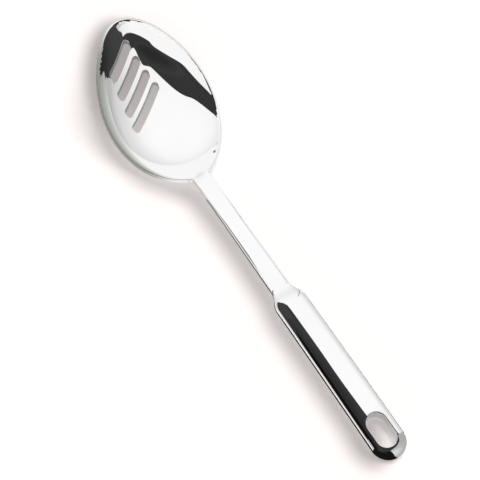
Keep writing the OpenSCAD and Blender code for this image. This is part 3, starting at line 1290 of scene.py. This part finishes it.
@dataclass
class EyeSleeve:
    """The sleeve that lines the hanging eye, with its lips rolled into the two skins."""

    blank: Blank = Blank()
    grip: Grip = Grip()
    eye: Eye = Eye()
    step: float = 0.0005
    lip_round: float = 0.0006
    lip_rings: int = 8
    wall_rings: int = 6
    plain_rings: int = 2

    def lip(self, side: Side, toward: np.ndarray) -> tuple[list[np.ndarray], list[np.ndarray]]:
        """Make the rings of one lip, from the sleeve's outer wall to the clear opening.

        Args:
            side: Which of the handle's faces the lip is rolled into.
            toward: The directions towards the opening.

        Returns:
            The rings' points, and their normals.
        """
        shell = HandleShell(side, self.blank, self.grip, self.eye)
        turns = np.linspace(RIGHT_ANGLE, 0.0, self.lip_rings)
        rings = [(self.lip_round * (1.0 - math.cos(angle)), angle) for angle in turns]
        rings.insert(0, (self.eye.sleeve, RIGHT_ANGLE))
        points, normals = [], []
        for out, angle in rings:
            skin, normal = shell.face(self.eye.outline(self.grip, out, self.step))
            skin[:, 2] -= side.value * self.lip_round * (1.0 - math.sin(angle))
            points.append(skin)
            normals.append(unit(math.sin(angle) * normal + math.cos(angle) * toward))
        return points, normals

    def build(self, rest: Rest, materials: Materials) -> bpy.types.Object:
        """Build the mesh as rings round the eye, from the outer wall over both lips and back.

        Args:
            rest: How the spoon lies.
            materials: The steel of its faces, and that of its cut edges.

        Returns:
            The new object.
        """
        clear = self.eye.outline(self.grip, 0.0, self.step)
        edge = self.eye.outline(self.grip, self.eye.sleeve, self.step)
        toward = np.concatenate([unit(clear - edge), np.zeros((len(clear), 1))], axis=1)
        upper, upper_normals = self.lip(Side.UPPER, toward)
        lower, lower_normals = self.lip(Side.LOWER, toward)
        shares = [k / self.wall_rings for k in range(1, self.wall_rings)]
        rows = upper + [upper[-1] + (lower[-1] - upper[-1]) * k for k in shares] + lower[::-1]
        normals = np.concatenate(upper_normals + [toward] * len(shares) + lower_normals[::-1])
        count, last = len(clear), len(rows) - 1
        ring = np.arange(count)
        after = np.roll(ring, -1)
        band = np.stack([ring, after, after + count, ring + count], axis=1)
        quads = np.stack([k * count + band for k in range(last)])
        on_lip = np.array([k < self.lip_rings or k >= last - self.lip_rings for k in range(last)])
        lips, wall = quads[on_lip].reshape(-1, 4), quads[~on_lip].reshape(-1, 4)
        back = np.stack([last * count + ring, last * count + after, after, ring], axis=1)
        back_normal = np.stack([-toward[ring], -toward[after], -toward[after], -toward[ring]], axis=1)
        worn = [float(self.plain_rings <= k <= last - self.plain_rings) for k in range(last + 1)]
        solid = Solid(
            np.concatenate(rows) + np.array([self.blank.shank_length, 0.0, 0.0]),
            [lips, wall, back],
            [normals[lips], normals[wall], back_normal],
            [0, 1, 1],
            np.repeat(worn, count),
        )
        return solid.make("eye_sleeve_polished", rest, materials)


class Shade(Enum):
    """How bright a studio card looks in the polished metal."""

    INK = 0.004
    BLACK = 0.008
    DUSK = 0.05
    PALE = 0.60
    WHITE = 1.0


@dataclass(frozen=True)
class Fade:
    """How the brightness of a card changes with the distance from a place.

    Attributes:
        centre: The place, to the right of the neck, ahead of it and over the table.
        stops: Distances from it, each with the card's brightness there.
    """

    centre: Place
    stops: Outline


@dataclass(frozen=True)
class Card:
    """A studio card that only the polished metal sees.

    Attributes:
        name: The card's name.
        shade: How bright it is, where it has no fade.
        corners: Its corners, each to the right of the neck, ahead of it and over the table.
        fade: How its brightness changes, if it does.
    """

    name: str
    shade: Shade
    corners: tuple[Place, ...]
    fade: Fade | None = None

    @classmethod
    def flat(
        cls, name: str, shade: Shade, height: float, outline: Outline, fade: Fade | None = None
    ) -> "Card":
        """Make a level card from its height and its outline."""
        return cls(name, shade, tuple((right, ahead, height) for right, ahead in outline), fade)

    @classmethod
    def upright(cls, name: str, shade: Shade, right: float, outline: Outline) -> "Card":
        """Make a standing card that runs straight ahead, from the outline of its face."""
        return cls(name, shade, tuple((right, ahead, height) for ahead, height in outline))

    @classmethod
    def across(
        cls, name: str, shade: Shade, ends: Outline, span: tuple[float, float], fade: Fade | None = None
    ) -> "Card":
        """Make a standing oblong card between two places on the table and two heights."""
        (start, end), (low, high) = ends, span
        return cls(name, shade, ((*start, low), (*end, low), (*end, high), (*start, high)), fade)


def along_spoon(outline: Outline) -> Outline:
    """Turn places beside the spoon, along it and across it from the neck, into right and ahead."""
    c, s = SPOON_RIGHT, SPOON_AHEAD
    return tuple((c * x - s * y, c * y + s * x) for x, y in outline)


def softened(outline: Outline, rounds: int) -> Outline:
    """Round the corners of a closed outline by cutting them again and again.

    Args:
        outline: The corners.
        rounds: How often each corner is cut.

    Returns:
        The corners of the softened outline.
    """
    path, near, far = np.array(outline), 0.75, 0.25
    for _ in range(rounds):
        after = np.roll(path, -1, axis=0)
        path = np.stack([near * path + far * after, far * path + near * after], axis=1).reshape(-1, 2)
    return tuple(map(tuple, path.tolist()))


# The spoon's own direction, to the right and ahead
SPOON_RIGHT, SPOON_AHEAD = 0.5736, -0.8192

OVERHEAD_FADE = Fade(
    (0.020, -0.165, 0.105),
    (
        (0.0, 0.024), (0.035, 0.025), (0.055, 0.028), (0.070, 0.034), (0.090, 0.042), (0.105, 0.036),
        (0.200, 0.034),
    ),
)

END_FADE = Fade(
    (0.135, -0.192, 0.015),
    ((0.0, 0.72), (0.009, 0.68), (0.018, 0.50), (0.034, 0.42), (0.060, 0.44)),
)

# Middle of the handle's round end, and the circles round it that cards run along
END_PLACE = (0.1172, -0.1674)
END_REACH = 0.030
END_INNER_REACH = 0.010


def round_end(start: float, end: float, radius: float = END_REACH) -> Outline:
    """Give two places on a circle round the handle's end, from their bearings in degrees."""
    (right, ahead), turns = END_PLACE, (math.radians(start), math.radians(end))
    return tuple((right + radius * math.sin(turn), ahead + radius * math.cos(turn)) for turn in turns)


def end_floor(*parts: tuple[float, float]) -> Outline:
    """Give the outline of a floor card between two circles round the handle's end.

    Args:
        parts: Bearings in degrees between which it runs.

    Returns:
        The corners of the outline.
    """
    inner = [place for start, end in parts for place in round_end(start, end, END_INNER_REACH)]
    outer = [place for start, end in reversed(parts) for place in round_end(end, start)]
    return (*inner, *outer)


CARDS = (
    Card.flat(
        "overhead_card",
        Shade.BLACK,
        0.105,
        softened(
            (
                (-0.157, 0.050), (-0.137, 0.026), (-0.121, 0.012), (-0.100, -0.003), (-0.076, -0.021),
                (-0.058, -0.031), (-0.042, -0.030), (-0.026, -0.034), (-0.008, -0.045), (0.010, -0.058),
                (0.024, -0.067), (0.034, -0.061), (0.048, -0.056), (0.058, -0.068), (0.074, -0.087),
                (0.087, -0.108), (0.100, -0.121), (0.110, -0.131), (0.115, -0.131), (0.150, -0.108),
                (0.200, -0.080), (0.500, -0.120), (0.500, -0.500), (0.060, -0.500), (0.020, -0.310),
                (-0.050, -0.275), (-0.095, -0.262), (-0.108, -0.235), (-0.107, -0.180), (-0.115, -0.110),
                (-0.145, -0.060), (-0.165, 0.000),
            ),
            2,
        ),
        OVERHEAD_FADE,
    ),
    Card.upright(
        "bowl_side_card",
        Shade.DUSK,
        0.075,
        (
            (0.083, 0.009), (0.0775, 0.0125), (0.0735, 0.018), (0.070, 0.022), (0.0665, 0.0265),
            (0.063, 0.0305), (0.060, 0.037), (0.048, 0.050), (0.033, 0.060), (0.013, 0.066),
            (-0.017, 0.075), (-0.030, 0.082), (-0.030, 0.0555), (-0.012, 0.050), (0.003, 0.041),
            (0.023, 0.034), (0.043, 0.026), (0.063, 0.014), (0.074, 0.006), (0.080, 0.004),
        ),
    ),
    Card.flat(
        "shoulder_card",
        Shade.DUSK,
        0.032,
        (
            (0.014, -0.0590), (0.030, -0.0595), (0.0355, -0.0630), (0.0395, -0.0665), (0.0435, -0.0695),
            (0.0475, -0.0735), (0.0525, -0.0805), (0.0560, -0.0920), (0.044, -0.0960), (0.030, -0.0940),
            (0.016, -0.0850),
        ),
    ),
    Card.flat(
        "handle_side_card",
        Shade.INK,
        0.040,
        along_spoon(((0.110, -0.024), (0.206, -0.025), (0.206, -0.052), (0.118, -0.052))),
    ),
    *(
        Card.across(f"end_card_{part}", Shade.BLACK, round_end(start, end), (0.0, 0.040))
        for part, start, end in (("left", 240.0, 208.0), ("middle", 208.0, 176.0), ("right", 176.0, 143.0))
    ),
    *(
        Card.across(f"end_screen_{part}", Shade.PALE, round_end(start, end), (0.0, 0.038), END_FADE)
        for part, start, end in (("near", 143.0, 112.0), ("middle", 112.0, 81.0), ("far", 81.0, 50.0))
    ),
    Card.across("end_glint_card", Shade.WHITE, ((0.0646, -0.1850), (0.0672, -0.1912)), (0.036, 0.050)),
    # A dark sheet on the table beside the handle, seen only in the metal: painted shadow of the handle on
    # the table
    Card.flat(
        "left_floor_shadow_card",
        Shade.BLACK,
        0.0003,
        along_spoon(
            (
                (0.012, -0.0056), (0.088, -0.0062), (0.100, -0.0104), (0.204, -0.0110), (0.204, -0.034),
                (0.112, -0.034), (0.088, -0.0160), (0.012, -0.0135),
            )
        ),
    ),
    # Dark and grey sheets on the table round the handle's end, seen only in the metal: painted shade on
    # the table
    Card.flat("end_floor_shadow_card", Shade.BLACK, 0.0004, end_floor((240.0, 208.0), (176.0, 143.0))),
    Card.flat("end_floor_shade_screen", Shade.PALE, 0.0004, end_floor((143.0, 112.0), (81.0, 60.0)), END_FADE),
    # A dim sheet on the table on the handle's other side, seen only in the metal: painted shadow of the
    # handle on the table
    Card.flat(
        "right_floor_shadow_card",
        Shade.DUSK,
        0.0003,
        along_spoon(
            (
                (0.012, 0.0056), (0.088, 0.0062), (0.100, 0.0104), (0.204, 0.0110), (0.204, 0.0350),
                (0.100, 0.0330), (0.086, 0.0165), (0.012, 0.0140),
            )
        ),
    ),
)


SHADOW_FLAG = (
    (-0.0632, 0.1252), (-0.0686, 0.1215), (-0.0749, 0.1087), (-0.0770, 0.0942), (-0.0771, 0.0808),
    (-0.0759, 0.0668), (-0.0727, 0.0532), (-0.0679, 0.0395), (-0.0605, 0.0254), (-0.0500, 0.0116),
    (-0.0329, -0.0008), (-0.0031, -0.0113), (0.0141, -0.0345), (0.0305, -0.0579), (0.0454, -0.0815),
    (0.0496, -0.0924), (0.0726, -0.1254), (0.0945, -0.1576), (0.1040, -0.1745), (0.1135, -0.1800),
    (0.1215, -0.1765), (0.1180, -0.1500), (0.1014, -0.1220), (0.0782, -0.0887), (0.0576, -0.0663),
    (0.0415, -0.0432), (0.0244, -0.0195), (0.0068, 0.0054), (0.0099, 0.0180), (0.0118, 0.0315),
    (0.0111, 0.0450), (0.0085, 0.0578), (0.0033, 0.0714), (-0.0033, 0.0850), (-0.0126, 0.0979),
    (-0.0267, 0.1115), (-0.0434, 0.1218), (-0.0502, 0.1238),
)


@dataclass(frozen=True)
class Studio:
    """The pale table, the soft light, the cards and the camera.

    Places are given to the right of the neck, ahead of it and over the table, as the camera sees
    them.
    """

    neck_x: float
    floor_size: float = 6.0
    floor_colour: Place = (0.985, 0.925, 0.91)
    floor_lift: Place = (0.335, 0.308, 0.302)
    floor_rough: float = 0.9
    mirrored_colour: Place = (0.90, 0.905, 0.90)
    mirrored_lift: Place = (0.275, 0.277, 0.275)
    world_fill: float = 0.22
    key_power: float = 1.82
    key_spread: float = math.radians(36.0)
    key_tilt: float = math.radians(15.0)
    key_bearing: float = math.radians(53.0)
    room_levels: Outline = (
        (0.0, 0.64), (0.17, 0.70), (0.34, 0.76), (0.50, 0.85), (0.64, 0.95), (0.77, 0.99), (0.87, 1.0),
        (1.0, 1.0),
    )
    near_level: float = 0.97
    near_share: tuple[float, float] = (-0.9, -0.1)
    far_place: Place = (-3.75, -3.30, 0.0)
    far_shade_levels: Outline = ((5.08, 1.0), (5.16, 0.85), (5.25, 0.68), (5.50, 0.62), (7.0, 0.62))
    cloth_scale: float = 14.0
    cloth_colours: tuple[Place, Place] = ((0.90, 0.92, 0.90), (1.09, 1.12, 1.09))
    felt_colour: Place = (0.02, 0.02, 0.02)
    flag_height: float = 0.0215
    camera_lens: float = 116.231
    camera_sensor: float = 36.0
    camera_distance: float = 0.95676
    camera_azimuth: float = math.radians(144.9979)
    camera_elevation: float = math.radians(62.2350)
    camera_roll: float = math.radians(2.8980)
    camera_target: Place = (-0.010972, -0.000586, 0.0)

    def way(self, right: float, ahead: float) -> tuple[float, float]:
        """Turn a way to the right and ahead into x and y."""
        c, s = math.cos(self.camera_azimuth), math.sin(self.camera_azimuth)
        return right * s + ahead * c, ahead * s - right * c

    def ground(self, right: float, ahead: float, up: float) -> Vector:
        """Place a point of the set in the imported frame."""
        x, y = self.way(right, ahead)
        return Vector((self.neck_x + x, y, up))

    def add_camera(self) -> bpy.types.Object:
        """Set the camera at the photograph's viewing angle.

        Returns:
            The camera.
        """
        level, steep = math.cos(self.camera_elevation), math.sin(self.camera_elevation)
        c, s = math.cos(self.camera_azimuth), math.sin(self.camera_azimuth)
        ahead, right = Vector((c * level, s * level, -steep)), Vector((s, -c, 0.0))
        up = right.cross(ahead)
        c, s = math.cos(self.camera_roll), math.sin(self.camera_roll)
        basis = Matrix((right * c + up * s, up * c - right * s, -ahead)).transposed().to_4x4()
        data = bpy.data.cameras.new("photo_camera")
        data.lens = self.camera_lens
        data.sensor_width = self.camera_sensor
        camera = bpy.data.objects.new("photo_camera", data)
        place = Vector(self.camera_target) - ahead * self.camera_distance
        camera.matrix_world = Matrix.Translation(place) @ basis
        bpy.context.scene.collection.objects.link(camera)
        bpy.context.scene.camera = camera
        return camera

    def stand(self, name: str, corners: list[Vector], material: bpy.types.Material) -> bpy.types.Object:
        """Stand a flat thing in the scene.

        Args:
            name: Its name.
            corners: Its corners.
            material: Its only material.

        Returns:
            The new object.
        """
        mesh = bpy.data.meshes.new(name)
        mesh.from_pydata(corners, [], [tuple(range(len(corners)))])
        mesh.materials.append(material)
        thing = bpy.data.objects.new(name, mesh)
        bpy.context.scene.collection.objects.link(thing)
        return thing

    def add_table(self) -> bpy.types.Object:
        """Lay the pale table under the spoon.

        Returns:
            The table.
        """
        half = self.floor_size / 2.0
        corners = [Vector((x * half, y * half, 0.0)) for x, y in ((-1, -1), (1, -1), (1, 1), (-1, 1))]
        table = self.stand("table", corners, self.table_material())
        return table

    def table_material(self) -> bpy.types.Material:
        """Make the table's paper, which is white to the camera, shadows apart; in the metal it is neutral
        in colour and its far part is painted darker, a painted shade.

        Returns:
            The new material.
        """
        material = bpy.data.materials.new("pale_table")
        graph = Graph.of(material)
        shader = graph.nodes["Principled BSDF"].inputs
        shader["Roughness"].default_value = self.floor_rough
        shader["Specular IOR Level"].default_value = 0.0
        mirrored = graph.ray("Is Glossy Ray")
        # Painted shade: in the metal, the far part of the table turns darker
        far = graph.levels(graph.distance(self.ground(*self.far_place)), self.far_shade_levels)
        share = graph.mix(mirrored, 1.0, far)
        colour = graph.tint(mirrored, self.floor_colour, self.mirrored_colour)
        scaled = graph.add("VectorMath", "Vector", {"Scale": share, 0: colour}, operation="SCALE")
        graph.feed(shader["Base Color"], scaled)
        graph.feed(shader["Emission Color"], graph.tint(mirrored, self.floor_lift, self.mirrored_lift))
        graph.feed(shader["Emission Strength"], graph.math("MULTIPLY", graph.seen(), share))
        return material

    def add_room(self) -> None:
        """Put a white room round the scene, a little darker low down and on the camera's side."""
        world = bpy.data.worlds.new("soft_studio")
        bpy.context.scene.world = world
        graph = Graph.of(world)
        background = graph.nodes["Background"].inputs
        background["Color"].default_value = (1.0, 1.0, 1.0, 1.0)
        way = graph.add("TexCoord", "Generated", {})
        rising = graph.levels(graph.add("SeparateXYZ", "Z", {"Vector": way}), self.room_levels)
        straight_on = Vector((*self.way(0.0, 1.0), 0.0))
        forward = graph.add("VectorMath", "Value", {1: straight_on, 0: way}, operation="DOT_PRODUCT")
        room = graph.mix(graph.stretch(forward, self.near_share), self.near_level, rising)
        shown = graph.mix(graph.ray("Is Glossy Ray"), 1.0, room)
        graph.feed(background["Strength"], graph.mix(graph.seen(), self.world_fill, shown))

    def add_lamp(self) -> bpy.types.Object:
        """Hang one soft lamp at the upper right, which no metal mirrors.

        Returns:
            The lamp.
        """
        data = bpy.data.lights.new("soft_lamp", "SUN")
        data.angle = self.key_spread
        data.energy = self.key_power
        lamp = bpy.data.objects.new("soft_lamp", data)
        out, up = math.sin(self.key_tilt), math.cos(self.key_tilt)
        place = self.ground(out * math.sin(self.key_bearing), out * math.cos(self.key_bearing), up)
        turn = (self.ground(0.0, 0.0, 0.0) - place).to_track_quat("-Z", "Y").to_matrix().to_4x4()
        lamp.matrix_world = Matrix.Translation(place) @ turn
        lamp.visible_glossy = False
        lamp.visible_camera = False
        bpy.context.scene.collection.objects.link(lamp)
        return lamp

    def add_cards(self) -> None:
        """Stand the cards round the spoon, where only its polished metal sees them."""
        for card in CARDS:
            corners = [self.ground(*corner) for corner in card.corners]
            piece = self.stand(card.name, corners, self.card_material(card))
            piece.visible_camera = False
            piece.visible_diffuse = False
            piece.visible_transmission = False
            piece.visible_shadow = False

    def card_material(self, card: Card) -> bpy.types.Material:
        """Make the slightly uneven cloth of a card.

        Args:
            card: The card.

        Returns:
            The new material.
        """
        material = bpy.data.materials.new(card.name)
        graph = Graph.of(material)
        graph.nodes.remove(graph.nodes["Principled BSDF"])
        colour = graph.tint(graph.noise(graph.place(), self.cloth_scale, detail=2.0), *self.cloth_colours)
        level = card.shade.value
        if card.fade is not None:
            level = graph.levels(graph.distance(self.ground(*card.fade.centre)), card.fade.stops)
        cloth = graph.add("Emission", "Emission", {"Color": colour, "Strength": level})
        graph.feed(graph.nodes["Material Output"].inputs["Surface"], cloth)
        return material

    def add_flag(self) -> bpy.types.Object:
        """Hang the flag that deepens the soft shadow beside the spoon, and that nothing else sees.

        Returns:
            The flag.
        """
        felt = bpy.data.materials.new("black_felt")
        shader = Graph.of(felt).nodes["Principled BSDF"].inputs
        shader["Base Color"].default_value = (*self.felt_colour, 1.0)
        shader["Roughness"].default_value = 1.0
        corners = [self.ground(right, ahead, self.flag_height) for right, ahead in SHADOW_FLAG]
        flag = self.stand("shadow_flag", corners, felt)
        flag.visible_camera = False
        flag.visible_glossy = False
        flag.visible_transmission = False
        return flag


def main() -> None:
    """Build the studio and each piece of the spoon in order, and report each piece."""
    logging.basicConfig(level=logging.INFO, format="%(message)s")
    bpy.context.scene.view_settings.view_transform = "Standard"
    blank = Blank()
    rest = Rest.from_record(frame["record"], blank.mount_station, blank.shank_sheet)
    studio = Studio(rest.neck_x)
    studio.add_camera()
    studio.add_table()
    studio.add_room()
    studio.add_lamp()
    studio.add_cards()
    studio.add_flag()
    finishes = [MIRROR_STEEL.build(), CUT_EDGE_STEEL.build()]
    pieces = (
        (BowlAndShank(blank).build(rest, finishes), "bowl_and_shank", "polished_steel"),
        (HandleShell(Side.UPPER).build(rest, finishes), "handle_top_shell", "polished_steel"),
        (HandleShell(Side.LOWER).build(rest, finishes), "handle_bottom_shell", "polished_steel"),
        (EyeSleeve().build(rest, finishes), "eye_sleeve", "eye_steel"),
    )
    for piece, node, slot in pieces:
        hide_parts(node)
        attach(piece, "root")
        log.info("%s: %d faces for %s", piece.name, len(piece.data.polygons), node)


if __name__ == "__main__":
    main()
